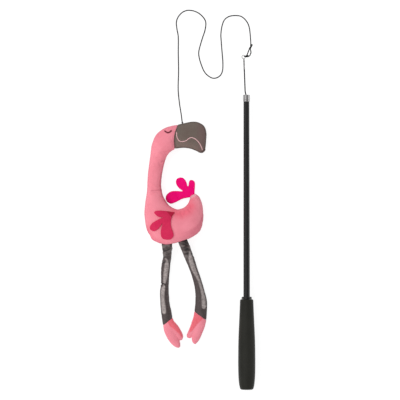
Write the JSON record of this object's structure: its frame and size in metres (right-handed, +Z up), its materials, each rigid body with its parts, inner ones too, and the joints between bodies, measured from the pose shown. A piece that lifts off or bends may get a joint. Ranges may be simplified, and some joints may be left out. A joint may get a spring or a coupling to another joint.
{
  "type": "telescopic cat teaser wand",
  "caption": "Telescoping wand with a swelling handle, thin tip rod and eye, and a long cord tied to a plush flamingo toy with dangling legs.",
  "frame": {"origin": "on the floor below the middle of the box round the wand and the toy, the cord left out", "axes": "+Y along the wand from its butt to its tip, +Z up from the floor on which wand and toy lie, +X from the toy to the wand"},
  "size_m": [0.1282, 0.444, 0.0295],
  "materials": {
    "grip_plastic": "fine matte, moulded",
    "collar_plastic": "satin",
    "black_coat": "satin black coat",
    "bright_metal": "polished nickel",
    "tube_steel": "drawn tube",
    "bush_brass": "spring brass",
    "rod_steel": "dark drawn wire",
    "cord": "braided, matt",
    "pink_plush": "short pile plush",
    "beak_plush": "short pile plush",
    "raspberry_felt": "felt",
    "magenta_felt": "felt",
    "leg_satin": "shiny crinkled satin",
    "foot_plush": "short pile plush"
  },
  "bodies": {
    "handle": {"grip": "grip_plastic", "butt_cap": "grip_plastic", "grip_collar": "collar_plastic", "outer_tube": "black_coat", "rear_plug": "grip_plastic", "tube_ferrule": "bright_metal"},
    "middle_section": {"middle_tube": "tube_steel", "middle_bush": "bush_brass"},
    "inner_section": {"inner_tube": "tube_steel", "inner_bush": "bush_brass"},
    "tip_section": {"tip_rod": "rod_steel", "tip_bush": "bush_brass", "tip_sleeve": "bright_metal", "tip_eye": "bright_metal"},
    "line": {"hitch_knot": "cord", "loop_strand_left": "cord", "loop_strand_right": "cord", "loop_knot": "cord", "knot_tail": "cord", "cord": "cord"},
    "toy": {"toy_head": "pink_plush", "toy_neck": "pink_plush", "toy_breast": "pink_plush", "toy_belly": "pink_plush", "toy_rump": "pink_plush", "beak": "beak_plush"},
    "wing_flap": {"wing": "raspberry_felt"},
    "tail_flap": {"tail_feathers": "magenta_felt"},
    "left_leg": {"leg_left": "leg_satin"},
    "left_foot": {"foot_left": "foot_plush"},
    "right_leg": {"leg_right": "leg_satin"},
    "right_foot": {"foot_right": "foot_plush"}
  },
  "joints": [
    {"name": "middle_slide", "type": "slide", "parent": "handle", "child": "middle_section", "axis": [0, 1, 0], "range_m": [0, 0.19]},
    {"name": "inner_slide", "type": "slide", "parent": "middle_section", "child": "inner_section", "axis": [0, 1, 0], "range_m": [0, 0.19]},
    {"name": "tip_slide", "type": "slide", "parent": "inner_section", "child": "tip_section", "axis": [0, 1, 0], "range_m": [0, 0.19]},
    {"name": "eye_swing", "type": "hinge", "parent": "tip_section", "child": "line", "pos_m": [0.0509, 0.1931, 0.01005], "axis": [0, 0, 1], "range_deg": [-50, 5]},
    {"name": "beak_swing", "type": "hinge", "parent": "line", "child": "toy", "pos_m": [-0.0205, 0.1152, 0.0071], "axis": [0, 0, 1], "range_deg": [-35, 5]},
    {"name": "wing_root", "type": "hinge", "parent": "toy", "child": "wing_flap", "pos_m": [-0.0298, 0.0119, 0.02125], "axis": [-0.7071, 0.7071, 0], "range_deg": [0, 70]},
    {"name": "tail_root", "type": "hinge", "parent": "toy", "child": "tail_flap", "pos_m": [-0.00995, 0.0321, 0.0038], "axis": [0.7143, 0.6998, 0], "range_deg": [0, 60]},
    {"name": "hip_left", "type": "hinge", "parent": "toy", "child": "left_leg", "pos_m": [-0.0389, -0.0264, 0.015], "axis": [-1, 0, 0], "range_deg": [0, 60]},
    {"name": "ankle_left", "type": "hinge", "parent": "left_leg", "child": "left_foot", "pos_m": [-0.0382, -0.11525, 0.0049], "axis": [-0.7817, -0.6237, 0], "range_deg": [0, 50]},
    {"name": "hip_right", "type": "hinge", "parent": "toy", "child": "right_leg", "pos_m": [-0.02005, -0.02335, 0.015], "axis": [-1, 0, 0], "range_deg": [0, 60]},
    {"name": "ankle_right", "type": "hinge", "parent": "right_leg", "child": "right_foot", "pos_m": [0.00005, -0.1087, 0.0051], "axis": [-0.7843, 0.6203, 0], "range_deg": [0, 50]}
  ]
}
